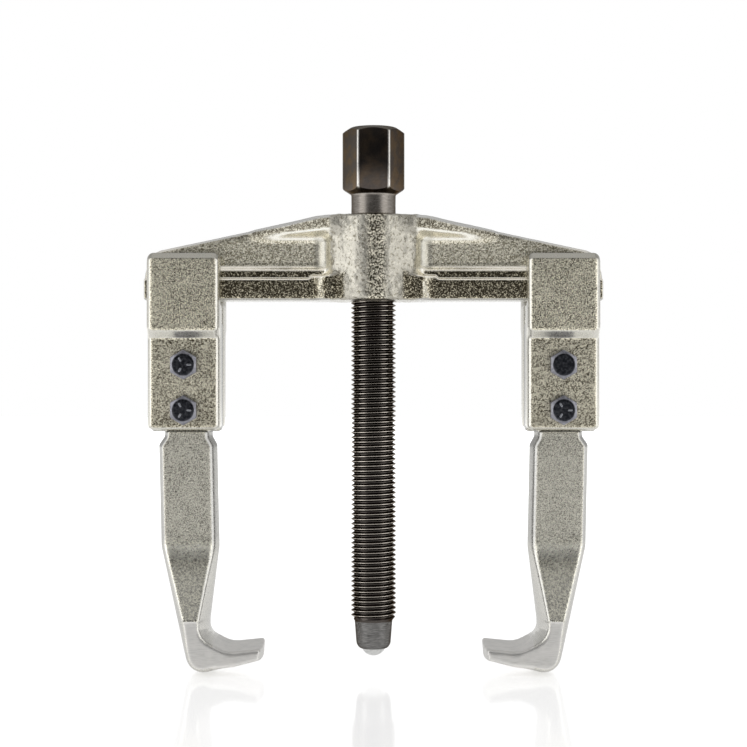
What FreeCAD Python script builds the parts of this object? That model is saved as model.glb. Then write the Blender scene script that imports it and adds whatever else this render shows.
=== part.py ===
"""Two-arm gear puller: a forged beam, a forcing screw with a ball point, and two sliding jaws.

Each jaw is two cheeks bolted over the tongue of a hooked arm. The cheeks hook over the rail of the beam
and slide along it. Millimetres, +Z up, X along the beam, front towards -Y, origin on the floor between
the hook heels, under the screw axis. The right jaw is the left jaw mirrored.
"""

import FreeCAD, Part
import math
import os

V = FreeCAD.Vector
SAME_POINT = 0.001  # corners nearer than this are one point

# forcing screw: M14 x 1.5, driven by a 17 mm hexagon
SCREW_D = 14.0
PITCH = 1.5
HEX_AF = 17.0
HEX_BOTTOM = 149.1
HEX_TOP = 169.8
HEX_DOME = ((0.1, 1.75), (-2.1, 0.2), (-2.7, 0.0))  # beyond the corner radius, below the top
HEX_CHAMFER = 1.6
NECK_D = 13.9
NECK_EDGE = 0.4
NECK_BLEND = 0.8
NECK_GAP = 0.1
UNDERCUT = 2.0
RUN_OUT = 0.9
ROOT_RELIEF = 0.05
THREAD_BOTTOM = 16.0
COLLAR_D = 11.8
COLLAR_EDGE = 0.6
TIP_D = 10.8
TIP_CHAMFER = 1.1
TIP_SHOULDER_Z = 8.9
TIP_Z = 7.2
BALL_D = 8.0
BALL_Z = 8.7
BALL_FIT = 0.06
FLANK_GAP = 0.17

# beam
BEAM_BOTTOM = 115.5
BEAM_TOP = 142.3
BEAM_END = 71.2
BEAM_FLAT = 16.2
BEAM_SLOPE = 12.0
SLOPE_END = 66.5
END_LEAN = 1.1
END_DROP = 1.6
RAIL_TOP = 122.6
RAIL_HALF = 7.5
WEB_HALF = 3.0
STRIP_HALF = 4.5
STRIP_TOP = 125.1
HUB_R = 13.0
HUB_WALL = 14.2
WALL_LEAN = 1.6
RIM_BOTTOM = 135.4
RIM_RISE = 2.2
RIM_END = 37.5
RIM_HALF = 9.0
SWEEP_END = 18.7
SHOULDER_TOP = 123.5
NUT_THREAD_R = 6.3
NUT_THREAD_LENGTH = 30.0
NUT_THREAD_RELIEF = 0.2
MOUTH_CHAMFER = 1.0

# jaw head: two cheeks
HEAD_IN = 47.1
HEAD_OUT = 69.5
HEAD_BOTTOM = 75.0
HEAD_TOP = 130.0
CHEEK_HALF = 11.0
BLOCK_HALF = 13.4
BAND_BOTTOM = 103.9
BAND_TOP = 106.3
TOP_BEVEL = 1.6
CHEEK_EDGE = 0.9
LIP_HALF = 5.0
RAIL_GAP = 0.3
UNDER_RAIL = BEAM_BOTTOM - 0.15
OVER_RAIL = RAIL_TOP + 0.2

# hooked arm
TONGUE_HALF = 3.0
TONGUE_TOP = 109.0
TONGUE_INSET = 0.3
ARM_HALF = 4.0
FLARE_TOP = 36.0
FLARE_BOTTOM = 17.0
FLARE_HALF = 12.3
HOOK_HALF = 12.0
HEEL_X = 52.6
HEEL_R = 6.1
UNDERSIDE = 14.2
FINGER_SLOPE = 5.7
FINGER_ROOT = (52.3, 6.75)
TIP_X = 33.9
TIP_LEAN = 0.4
OUTER_LEAN = 12.7

# bolts, M5 with 8 mm hexagons
BOLT_X = 58.1
BOLT_Z = {"upper": 95.7, "lower": 81.8}
BOLT_D = 4.9
BOLT_HOLE = 5.3
BOLT_AF = 8.0
BOLT_HEAD = 3.35
MARK = 0.15
NUT = 2.7
WASHER = 0.8
WASHER_D = 9.2
WASHER_HOLE = 5.1
NUT_BORE = 5.0
SPLIT = 0.7
SPLIT_LEAN = 25.0


def xz(u, v):
    return V(u, 0, v)


def yz(u, v):
    return V(0, u, v)


def xy(u, v):
    return V(u, v, 0)


def outline(points, plane):
    """A closed face from corners (u, v, radius), each corner rounded by its own radius."""
    corners = []
    for i, (u, v, r) in enumerate(points):
        here = V(u, v, 0)
        back = V(*points[i - 1][:2], 0) - here
        ahead = V(*points[(i + 1) % len(points)][:2], 0) - here
        back.normalize()
        ahead.normalize()
        if r == 0:
            corners.append((here, None, here))
            continue
        half = back.getAngle(ahead) / 2
        reach = r / math.tan(half)
        inward = back + ahead
        inward.normalize()
        middle = here + inward * (r / math.sin(half) - r)
        corners.append((here + back * reach, middle, here + ahead * reach))
    edges = []
    for i, (start, middle, end) in enumerate(corners):
        if middle:
            arc = [plane(p.x, p.y) for p in (start, middle, end)]
            edges.append(Part.Arc(*arc).toShape())
        onward = corners[(i + 1) % len(corners)][0]
        if end.distanceToPoint(onward) > SAME_POINT:
            line = [plane(p.x, p.y) for p in (end, onward)]
            edges.append(Part.LineSegment(*line).toShape())
    return Part.Face(Part.Wire(edges))


def across(points, low, high):
    """An XZ outline given depth from y = low to y = high."""
    face = outline(points, xz)
    face.translate(V(0, low, 0))
    return face.extrude(V(0, high - low, 0))


def along(points, low, high):
    """A YZ outline run from x = low to x = high."""
    face = outline(points, yz)
    face.translate(V(low, 0, 0))
    return face.extrude(V(high - low, 0, 0))


def upward(points, low, high):
    """An XY outline raised from z = low to z = high."""
    face = outline(points, xy)
    face.translate(V(0, 0, low))
    return face.extrude(V(0, 0, high - low))


def both_ways(points):
    """The mirror image of a right-hand row of corners joined to it, to close a symmetric outline."""
    return points + [(-u, v, r) for u, v, r in reversed(points)]


def turned(profile):
    """A solid of revolution about Z from (r, z) corners."""
    wire = Part.makePolygon([V(r, 0, z) for r, z in profile + profile[:1]])
    return Part.Face(wire).revolve(V(0, 0, 0), V(0, 0, 1), 360)


def hexagon(flats, low, high):
    """A hexagonal prism about Z with two corners on the X axis."""
    radius = flats / math.sqrt(3)
    points = []
    for k in range(6):
        angle = math.radians(60 * k)
        points.append((radius * math.cos(angle), radius * math.sin(angle), 0))
    return upward(points, low, high)


def thread_groove(inner_r, outer_r, inner_half, outer_half, start, length):
    """A right-hand helical cutter about Z with a trapezoid section, starting on the +X side."""
    path = Part.makeLongHelix(PITCH, length, inner_r, 0)
    path.translate(V(0, 0, start))
    section = Part.makePolygon(
        [
            V(inner_r, 0, start - inner_half),
            V(outer_r, 0, start - outer_half),
            V(outer_r, 0, start + outer_half),
            V(inner_r, 0, start + inner_half),
            V(inner_r, 0, start - inner_half),
        ]
    )
    groove = Part.Wire(path.Edges).makePipeShell([section], True, True)
    if groove.Volume < 0:
        groove.reverse()
    return groove


SLOPE = math.tan(math.radians(BEAM_SLOPE))
FLANK = math.tan(math.radians(30))
ROOT_R = SCREW_D / 2 - 0.6134 * PITCH
ROOT_HALF = PITCH / 16


def thread_half(r):
    """Half the axial width of the screw's groove at radius r."""
    return ROOT_HALF + (r - ROOT_R) * FLANK


def beam_top(x):
    """Height of the beam's sloping top over x."""
    return BEAM_TOP - max(0.0, x - BEAM_FLAT) * SLOPE


def tapered(outer_x, outer_half, outer_r, inner_x, inner_half, inner_r):
    """Plan corners of a block about Z: inner_half deep out to inner_x, then narrowing to outer_half."""
    back = [(outer_x, outer_half, outer_r), (inner_x, inner_half, inner_r)]
    back += [(-u, v, r) for u, v, r in reversed(back)]
    return back + [(-u, -v, r) for u, v, r in back]


def nut_thread():
    """Cutters for the thread in the hub, which clears the screw's own thread, and for its two mouths."""
    turns = math.floor((BEAM_BOTTOM - THREAD_BOTTOM) / PITCH - 1)
    start = THREAD_BOTTOM - PITCH / 2 + PITCH * turns
    outer_r = SCREW_D / 2 + NUT_THREAD_RELIEF
    outer_half = PITCH / 2 - thread_half(outer_r) + FLANK_GAP
    inner_r = NUT_THREAD_R - 0.1
    inner_half = outer_half + (outer_r - inner_r) * FLANK
    groove = thread_groove(inner_r, outer_r, inner_half, outer_half, start, NUT_THREAD_LENGTH)
    bore = Part.makeCylinder(NUT_THREAD_R, BEAM_TOP - BEAM_BOTTOM + 2, V(0, 0, BEAM_BOTTOM - 1))
    cutters = [bore, groove]
    mouth_r = outer_r + 0.3
    for z, inward in ((BEAM_BOTTOM, MOUTH_CHAMFER), (BEAM_TOP, -MOUTH_CHAMFER)):
        wide = mouth_r + MOUTH_CHAMFER
        narrow = mouth_r - MOUTH_CHAMFER
        cutters.append(turned([(0, z - inward), (wide, z - inward), (narrow, z + inward), (0, z + inward)]))
    return cutters


def make_beam():
    """Beam: hub, web under a sloping top, a rim that fades into the web, and the rail the jaws slide on."""
    side = both_ways(
        [
            (BEAM_END, BEAM_BOTTOM, 0.8),
            (BEAM_END, RAIL_TOP, 2.0),
            (BEAM_END - END_LEAN, beam_top(SLOPE_END) - END_DROP, 2.0),
            (SLOPE_END, beam_top(SLOPE_END), 5.0),
            (BEAM_FLAT, BEAM_TOP, 20.0),
        ]
    )
    silhouette = across(side, -HUB_R, HUB_R)
    web = across(side, -WEB_HALF, WEB_HALF)
    rail_section = both_ways(
        [
            (RAIL_HALF, BEAM_BOTTOM, 0.9),
            (RAIL_HALF, RAIL_TOP, 0.5),
            (STRIP_HALF, RAIL_TOP, 0.3),
            (STRIP_HALF, STRIP_TOP, 0.8),
            (WEB_HALF - 0.5, STRIP_TOP + 0.4, 0),
        ]
    )
    rail = along(rail_section, -BEAM_END, BEAM_END).common(silhouette)
    hub = Part.makeCylinder(HUB_R, BEAM_TOP - BEAM_BOTTOM, V(0, 0, BEAM_BOTTOM))
    shoulder_plan = tapered(SWEEP_END, RAIL_HALF, 4.0, HUB_WALL, RIM_HALF, 4.0)
    shoulders = upward(shoulder_plan, BEAM_BOTTOM, SHOULDER_TOP)
    neck_plan = tapered(HUB_WALL + WALL_LEAN, WEB_HALF, 0.8, HUB_WALL - WALL_LEAN, RIM_HALF - 0.5, 3.0)
    neck = upward(neck_plan, BEAM_BOTTOM, BEAM_TOP)
    rim_plan = tapered(RIM_END, WEB_HALF - 0.2, 0, HUB_WALL - 2, RIM_HALF + 0.5, 6.0)
    rim_section = both_ways(
        [
            (WEB_HALF - 0.5, RIM_BOTTOM, 0),
            (RIM_HALF + 0.5, RIM_BOTTOM + RIM_RISE, 0),
            (RIM_HALF + 0.5, BEAM_TOP + 1, 0),
        ]
    )
    rim = upward(rim_plan, RIM_BOTTOM, BEAM_TOP).common(silhouette)
    rim = rim.common(along(rim_section, -RIM_END, RIM_END))
    body = web.fuse([rail, hub, shoulders, neck, rim]).removeSplitter()
    for cutter in nut_thread():
        body = body.cut(cutter)
    return body


def make_spindle():
    """Forcing screw: hexagon, neck, M14 thread, collar and a socket that holds the ball."""
    hex_r = HEX_AF / math.sqrt(3)
    neck_r = NECK_D / 2
    root_r = ROOT_R - ROOT_RELIEF
    under_hex_r = neck_r + 0.3
    dome = [(0, HEX_BOTTOM), (under_hex_r, HEX_BOTTOM), (hex_r + 0.1, HEX_BOTTOM + HEX_CHAMFER)]
    dome += [(hex_r + beyond, HEX_TOP - below) for beyond, below in HEX_DOME]
    dome.append((0, HEX_TOP))
    head = hexagon(HEX_AF, HEX_BOTTOM, HEX_TOP).common(turned(dome))
    shank = [
        (0, TIP_Z),
        (TIP_D / 2 - TIP_CHAMFER, TIP_Z),
        (TIP_D / 2, TIP_SHOULDER_Z),
        (COLLAR_D / 2, THREAD_BOTTOM - COLLAR_EDGE),
        (root_r, THREAD_BOTTOM),
        (SCREW_D / 2, THREAD_BOTTOM + 1.0),
        (SCREW_D / 2, BEAM_TOP - UNDERCUT - RUN_OUT),
        (root_r, BEAM_TOP - UNDERCUT),
        (root_r, BEAM_TOP + NECK_GAP),
        (neck_r - NECK_EDGE, BEAM_TOP + NECK_GAP),
        (neck_r, BEAM_TOP + NECK_GAP + NECK_EDGE),
        (neck_r, HEX_BOTTOM - NECK_BLEND),
        (under_hex_r, HEX_BOTTOM),
        (under_hex_r, HEX_BOTTOM + 1),
        (0, HEX_BOTTOM + 1),
    ]
    body = turned(shank)
    outer_r = SCREW_D / 2 + 0.15
    length = BEAM_TOP - UNDERCUT + 0.8 - THREAD_BOTTOM + PITCH
    groove = thread_groove(ROOT_R, outer_r, ROOT_HALF, thread_half(outer_r), THREAD_BOTTOM - PITCH, length)
    socket = Part.makeSphere(BALL_D / 2 + BALL_FIT, V(0, 0, BALL_Z))
    return body.cut(groove).fuse(head).removeSplitter().cut(socket)


def make_ball():
    """The hardened ball that presses on the shaft."""
    return Part.makeSphere(BALL_D / 2, V(0, 0, BALL_Z))


def bolt_holes():
    """Clearance holes for the two bolts, right through a jaw head."""
    holes = []
    for z in BOLT_Z.values():
        start = V(-BOLT_X, -BLOCK_HALF - 1, z)
        holes.append(Part.makeCylinder(BOLT_HOLE / 2, 2 * BLOCK_HALF + 2, start, V(0, 1, 0)))
    return Part.makeCompound(holes)


def make_cheek():
    """Front cheek of the left jaw: clamps the tongue below and hooks over the rail above."""
    cavity = RAIL_HALF + RAIL_GAP
    section = [
        (-CHEEK_HALF, HEAD_BOTTOM, 1.2),
        (-CHEEK_HALF, BAND_BOTTOM, 0.6),
        (-BLOCK_HALF, BAND_TOP, 0.8),
        (-BLOCK_HALF, HEAD_TOP, TOP_BEVEL),
        (-LIP_HALF, HEAD_TOP, 0.5),
        (-LIP_HALF, OVER_RAIL, 0.5),
        (-cavity, OVER_RAIL, 0.4),
        (-cavity, UNDER_RAIL, 0.4),
        (-TONGUE_HALF, UNDER_RAIL, 0.6),
        (-TONGUE_HALF, HEAD_BOTTOM, 0.5),
    ]
    front = [
        (-HEAD_OUT, HEAD_BOTTOM, 2.0),
        (-HEAD_IN, HEAD_BOTTOM, 2.0),
        (-HEAD_IN, HEAD_TOP, 0.6),
        (-HEAD_OUT, HEAD_TOP, 0.6),
    ]
    plans = []
    for half, low, high in ((CHEEK_HALF, HEAD_BOTTOM, BAND_BOTTOM), (BLOCK_HALF, BAND_BOTTOM, HEAD_TOP)):
        plan = [
            (-HEAD_OUT, -half, CHEEK_EDGE),
            (-HEAD_IN, -half, CHEEK_EDGE),
            (-HEAD_IN, 0, 0),
            (-HEAD_OUT, 0, 0),
        ]
        plans.append(upward(plan, low, high))
    cheek = along(section, -HEAD_OUT, -HEAD_IN).common(across(front, -BLOCK_HALF, 0))
    return cheek.common(plans[0].fuse(plans[1])).cut(bolt_holes())


def heel_corner():
    """Where the finger's underside would meet the arm's outer edge if the heel weren't rounded."""
    under = math.radians(UNDERSIDE)
    lean = math.radians(OUTER_LEAN)
    down = V(-math.sin(under), -math.cos(under), 0)
    out = V(math.cos(lean), -math.sin(lean), 0)
    corner = V(HEEL_X, HEEL_R, 0) + (down + out) * (HEEL_R / (1 + down.dot(out)))
    return corner.x, corner.y


def make_arm():
    """Left arm: flat tongue, straight shank, and a hook that flares to three times the shank's depth."""
    heel = heel_corner()
    finger = math.tan(math.radians(FINGER_SLOPE))
    under_x = TIP_X + TIP_LEAN
    under_z = heel[1] + (heel[0] - under_x) * math.tan(math.radians(UNDERSIDE))
    right_hand = [
        (50.3, HEAD_BOTTOM, 0),
        (50.3, 73.4, 1.0),
        (48.85, 70.8, 2.0),
        (48.2, FLARE_TOP + 3.1, 12.0),
        (*FINGER_ROOT, 8.0),
        (TIP_X, FINGER_ROOT[1] + (FINGER_ROOT[0] - TIP_X) * finger, 0.6),
        (under_x, under_z, 0.9),
        (*heel, HEEL_R),
        (66.36, FLARE_TOP + 3.1, 12.0),
        (67.1, 70.8, 2.0),
        (65.3, 73.4, 1.0),
        (65.3, HEAD_BOTTOM, 0),
    ]
    shape = [(-u, v, r) for u, v, r in right_hand]
    plate = across(shape, -FLARE_HALF, FLARE_HALF)
    front = [
        (FLARE_HALF, FLARE_BOTTOM + 0.4, 0),
        (ARM_HALF, FLARE_TOP, 6.0),
        (ARM_HALF, HEAD_BOTTOM + 1, 0),
    ]
    back = [(-u, v, r) for u, v, r in reversed(front)]
    foot = [
        (-FLARE_HALF, FLARE_BOTTOM, 0),
        (-HOOK_HALF, FLARE_BOTTOM, 0),
        (-HOOK_HALF, -1, 0),
        (HOOK_HALF, -1, 0),
        (HOOK_HALF, FLARE_BOTTOM, 0),
        (FLARE_HALF, FLARE_BOTTOM, 0),
    ]
    depth = along(front + back + foot, -BEAM_END, -TIP_X + 1)
    blade = plate.common(depth)

    tongue_shape = [
        (-HEAD_OUT + TONGUE_INSET, HEAD_BOTTOM, 2.0),
        (-HEAD_IN - TONGUE_INSET, HEAD_BOTTOM, 2.0),
        (-HEAD_IN - TONGUE_INSET, TONGUE_TOP, 1.0),
        (-HEAD_OUT + TONGUE_INSET, TONGUE_TOP, 1.0),
    ]
    tongue = across(tongue_shape, -TONGUE_HALF, TONGUE_HALF)
    return blade, tongue


def facing(shape, y, x, z):
    """A fastener built about Z turned to lie along +Y, its z = 0 at depth y."""
    turned_shape = shape.copy()
    turned_shape.rotate(V(0, 0, 0), V(1, 0, 0), -90)
    turned_shape.rotate(V(0, 0, 0), V(0, 1, 0), 90)
    turned_shape.translate(V(x, y, z))
    return turned_shape


def make_bolt(x, z, marked):
    """Hexagon bolt: head in front, shank through the jaw to the face of its nut."""
    corner_r = BOLT_AF / math.sqrt(3)
    crown = turned(
        [
            (0, -BOLT_HEAD),
            (corner_r - 1.4, -BOLT_HEAD),
            (corner_r + 0.1, -BOLT_HEAD + 0.8),
            (corner_r + 0.1, 0),
            (0, 0),
        ]
    )
    head = hexagon(BOLT_AF, -BOLT_HEAD, 0).common(crown)
    end = 2 * CHEEK_HALF + WASHER + NUT
    shank_r = BOLT_D / 2
    shank = turned([(0, -0.5), (shank_r, -0.5), (shank_r, end - 0.5), (shank_r - 0.5, end), (0, end)])
    bolt = head.fuse(shank).removeSplitter()
    if marked:
        for k in range(3):
            dash = Part.makeBox(1.3, 0.45, MARK + 0.1, V(1.2, -0.22, -BOLT_HEAD - MARK))
            dash.rotate(V(0, 0, 0), V(0, 0, 1), 30 + 120 * k)
            bolt = bolt.fuse(dash)
    return facing(bolt, -CHEEK_HALF, x, z)


def make_nut(x, z):
    """Thin hexagon nut against the rear washer."""
    corner_r = BOLT_AF / math.sqrt(3)
    crown = turned(
        [
            (0, 0),
            (corner_r - 0.8, 0),
            (corner_r + 0.1, 0.5),
            (corner_r + 0.1, NUT - 0.5),
            (corner_r - 0.8, NUT),
            (0, NUT),
        ]
    )
    nut = hexagon(BOLT_AF, 0, NUT).common(crown)
    nut = nut.cut(Part.makeCylinder(NUT_BORE / 2, NUT + 2, V(0, 0, -1)))
    return facing(nut, CHEEK_HALF + WASHER, x, z)


def make_washer(x, z):
    """Split spring washer between the rear cheek and the nut."""
    ring = Part.makeCylinder(WASHER_D / 2, WASHER)
    ring = ring.cut(Part.makeCylinder(WASHER_HOLE / 2, WASHER + 2, V(0, 0, -1)))
    split = Part.makeBox(WASHER_D, SPLIT, WASHER + 2, V(0, -SPLIT / 2, -1))
    split.rotate(V(0, 0, 0), V(1, 0, 0), SPLIT_LEAN)
    return facing(ring.cut(split), CHEEK_HALF, x, z)


def left_jaw():
    """Every piece of the left jaw, by its name without the side."""
    cheek = make_cheek()
    blade, tongue = make_arm()
    arm = blade.fuse(tongue).removeSplitter().cut(bolt_holes())
    pieces = {
        "front_cheek": cheek,
        "rear_cheek": cheek.mirror(V(0, 0, 0), V(0, 1, 0)),
        "hook_arm": arm,
    }
    for name, z in BOLT_Z.items():
        pieces[name + "_bolt"] = make_bolt(-BOLT_X, z, True)
        pieces[name + "_nut"] = make_nut(-BOLT_X, z)
        pieces[name + "_washer"] = make_washer(-BOLT_X, z)
    return pieces


def main():
    parts = {"beam": make_beam(), "spindle": make_spindle(), "ball_tip": make_ball()}
    for name, shape in left_jaw().items():
        parts["left_" + name] = shape
        parts["right_" + name] = shape.mirror(V(0, 0, 0), V(1, 0, 0))
    parts["right_upper_bolt"] = make_bolt(BOLT_X, BOLT_Z["upper"], False)
    os.makedirs("parts", exist_ok=True)
    for name, shape in parts.items():
        solids = shape.Solids
        print(name, len(solids), shape.isValid(), round(shape.Volume, 1))
        body = solids[0] if len(solids) == 1 else shape
        body.exportStep("parts/" + name + ".step")


main()
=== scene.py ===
"""Looks of a two-arm gear puller: nickel-plated forgings, a burnished screw and blackened bolts.

Each forging is a distance field in millimetres, in the frame of the CAD, meshed here with its rounded
edges and forged relief. The screw is a lattice that follows its thread.
"""

import math

import bmesh
import bpy
import numpy as np
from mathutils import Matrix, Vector


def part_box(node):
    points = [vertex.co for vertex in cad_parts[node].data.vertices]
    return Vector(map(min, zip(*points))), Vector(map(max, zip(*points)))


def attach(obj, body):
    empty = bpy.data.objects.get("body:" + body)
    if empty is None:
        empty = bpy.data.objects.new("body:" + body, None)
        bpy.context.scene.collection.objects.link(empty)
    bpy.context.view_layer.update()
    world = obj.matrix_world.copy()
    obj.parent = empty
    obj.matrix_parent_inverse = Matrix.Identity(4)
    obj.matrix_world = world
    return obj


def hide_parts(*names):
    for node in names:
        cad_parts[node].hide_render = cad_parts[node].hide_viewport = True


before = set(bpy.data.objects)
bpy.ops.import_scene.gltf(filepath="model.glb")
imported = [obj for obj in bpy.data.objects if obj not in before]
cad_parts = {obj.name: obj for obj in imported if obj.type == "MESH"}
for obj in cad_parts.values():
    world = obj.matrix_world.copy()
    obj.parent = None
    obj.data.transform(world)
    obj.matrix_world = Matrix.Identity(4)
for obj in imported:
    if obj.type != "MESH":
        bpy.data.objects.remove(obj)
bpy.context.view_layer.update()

MM = 0.001


def box_mm(node):
    """Lowest and highest corner of a CAD node, in millimetres."""
    low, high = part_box(node)
    return np.array(low) / MM, np.array(high) / MM


BEAM_LOW, BEAM_HIGH = box_mm("beam")
CHEEK_LOW, CHEEK_HIGH = box_mm("right_front_cheek")
ARM_LOW, ARM_HIGH = box_mm("right_hook_arm")
SCREW_HIGH = box_mm("spindle")[1]
BOLT_LOW, BOLT_HIGH = box_mm("right_upper_bolt")
NUT_LOW, NUT_HIGH = box_mm("right_upper_nut")
WASHER_LOW, WASHER_HIGH = box_mm("right_upper_washer")
SIDES = {"left": -1, "right": 1}

# beam: a web between the rail below and the rim above, with a thin strip just over the rail
BEAM_END = BEAM_HIGH[0]
BEAM_BOTTOM = BEAM_LOW[2]
BEAM_TOP = BEAM_HIGH[2]
HUB_R = BEAM_HIGH[1]
BEAM_FLAT = 16.2
SLOPE = math.tan(math.radians(12))
SLOPE_END = 66.5
RAIL_TOP = 122.6
RAIL_HALF = 7.5
WEB_HALF = 3.0
STRIP_HALF = 4.5
STRIP_TOP = 125.1
HUB_WALL = 14.2
RIM_BOTTOM = 135.4
RIM_RISE = 0.33
RIM_END = 37.5
SWEEP_END = 18.7
RAIL_START = 9.0
SHOULDER_HALF = 9.3
BORE_R = 7.25

# jaw head: two cheeks, each a block over the rail with a thinner cheek below it
HEAD_IN, HEAD_OUT = CHEEK_LOW[0], CHEEK_HIGH[0]
HEAD_BOTTOM, HEAD_TOP = CHEEK_LOW[2], CHEEK_HIGH[2]
BLOCK_HALF = -CHEEK_LOW[1]
CHEEK_HALF = 11.0
BAND_BOTTOM = 103.9
BAND_TOP = 106.3
LIP_HALF = 5.0
CAVITY_HALF = 7.8
TONGUE_HALF = 3.0
HEAD_BEVEL = 1.8
FOOT_TOP, FOOT_LOW = 84.0, 78.0

# hooked arm: halves are half depths along Y, drafts are how far an edge leans in
ARM_HALF = 4.0
HOOK_HALF = 12.0
FLARE_HALF = ARM_HIGH[1]
FLARE_TOP = 36.0
FLARE_BOTTOM = 17.0
TONGUE_TOP = ARM_HIGH[2]
TIP = ARM_LOW[0]
HEEL = (52.6, 6.1)
HEEL_R = 6.1
UNDERSIDE = math.radians(14.2)
OUTER_LEAN = math.radians(12.7)
FINGER_SLOPE = math.tan(math.radians(5.7))
FINGER_ROOT = (52.3, 6.75)
GROUND_END = 49.3
OUTER_DRAFT, INNER_DRAFT, FLARE_DRAFT = 1.35, 2.10, 2.6
BEND_Z = FLARE_TOP + 3.1
NOTCH_Z = HEAD_BOTTOM - 4.2

# bolts, with their nuts and washers
BOLT_X = (BOLT_LOW[0] + BOLT_HIGH[0]) / 2
BOLT_HEIGHT = {"upper": 95.7, "lower": 81.8}
BOLT_R = 2.45
BOLT_LENGTH = BOLT_HIGH[1] - BOLT_LOW[1]
BOLT_HEAD = 3.35
HOLE_R = 2.65
BOLT_AF = 8.0
BOLT_CORNER = BOLT_AF / math.sqrt(3)
CHAMFER = (0.5, 0.866)
NUT_BORE_R = 2.52
WASHER_BORE_R = 2.56

# screw and ball: HEX_WORN and CORNER_SHINE are degrees to each side of a hexagon's corner
PITCH = 1.5
CREST_R = 7.0
ROOT_R = 6.08
THREAD_BOTTOM = 16.0
THREAD_TOP = BEAM_TOP - 2.0
COLLAR_R = 5.9
NECK_R = 6.95
HEX_AF = 17.0
HEX_BOTTOM = 149.1
HEX_TOP = SCREW_HIGH[2]
HEX_WORN = 1.2
HALF_FLAT = 5.0
CORNER_SHINE = 2.7
TIP_R = 5.4
TIP_Z = 7.2
SOCKET_R = 4.05
BALL_R = 4.0
BALL_Z = 8.7
BALL_WORN = 0.12


def rounded(points, steps=5):
    """The outline through corners (u, v, radius), with each corner turned into a short arc."""
    made = []
    count = len(points)
    for i, (u, v, r) in enumerate(points):
        here = np.array([u, v])
        if r == 0:
            made.append(here)
            continue
        back = np.array(points[i - 1][:2]) - here
        ahead = np.array(points[(i + 1) % count][:2]) - here
        back /= np.linalg.norm(back)
        ahead /= np.linalg.norm(ahead)
        half = math.acos(np.clip(back @ ahead, -1, 1)) / 2
        inward = (back + ahead) / np.linalg.norm(back + ahead)
        centre = here + inward * r / math.sin(half)
        first = here + back * r / math.tan(half) - centre
        last = here + ahead * r / math.tan(half) - centre
        sweep = math.pi - 2 * half
        for t in np.linspace(0, 1, steps + 1):
            arc = (math.sin((1 - t) * sweep) * first + math.sin(t * sweep) * last) / math.sin(sweep)
            made.append(centre + arc)
    return np.array(made)


def plane_distance(u, v, outline):
    """Signed distance in a plane to a closed outline, negative inside."""
    u, v = np.broadcast_arrays(u, v)
    nearest = np.full(u.shape, np.inf)
    inside = np.zeros(u.shape, bool)
    for (ax, ay), (bx, by) in zip(outline, np.roll(outline, -1, axis=0)):
        ex, ey = bx - ax, by - ay
        t = np.clip(((u - ax) * ex + (v - ay) * ey) / (ex * ex + ey * ey), 0, 1)
        nearest = np.minimum(nearest, (u - ax - t * ex) ** 2 + (v - ay - t * ey) ** 2)
        if ey != 0:
            inside ^= ((ay > v) != (by > v)) & (u < ex * (v - ay) / ey + ax)
    return np.where(inside, -1, 1) * np.sqrt(nearest)


def meet(a, b, r):
    """What two fields share, with an edge of radius r where they meet."""
    return np.minimum(np.maximum(a, b), -r) + np.hypot(np.maximum(a + r, 0), np.maximum(b + r, 0))


def join(a, b, r):
    """Two fields together, with a fillet of radius r between them."""
    return -meet(-a, -b, r)


def smooth(t):
    """0 below 0, 1 above 1, and an even curve between."""
    t = np.clip(t, 0, 1)
    return t * t * (3 - 2 * t)


def slab(v, low, high):
    """The space between two levels."""
    return np.abs(v - (low + high) / 2) - (high - low) / 2


SCATTER = np.array([73856093, 19349663, 83492791])


def value_noise(points, size, seed):
    """Smooth random relief from 0 to 1 that changes over about size."""
    p = points / size
    base = np.floor(p).astype(np.int64)
    part = p - base
    part = part * part * (3 - 2 * part)
    total = np.zeros(len(p))
    for corner in np.ndindex(2, 2, 2):
        cell = base + corner
        mixed = (cell * SCATTER).sum(1) + seed * 2654435761
        mixed = (mixed ^ (mixed >> 13)) * 1274126177 & 0x7FFFFFFF
        mixed = (mixed ^ (mixed >> 16)) & 0xFFFF
        weight = np.prod(np.where(corner, part, 1 - part), axis=1)
        total += weight * (mixed / 32767.5 - 1)
    return 0.5 + 0.5 * total


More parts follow.
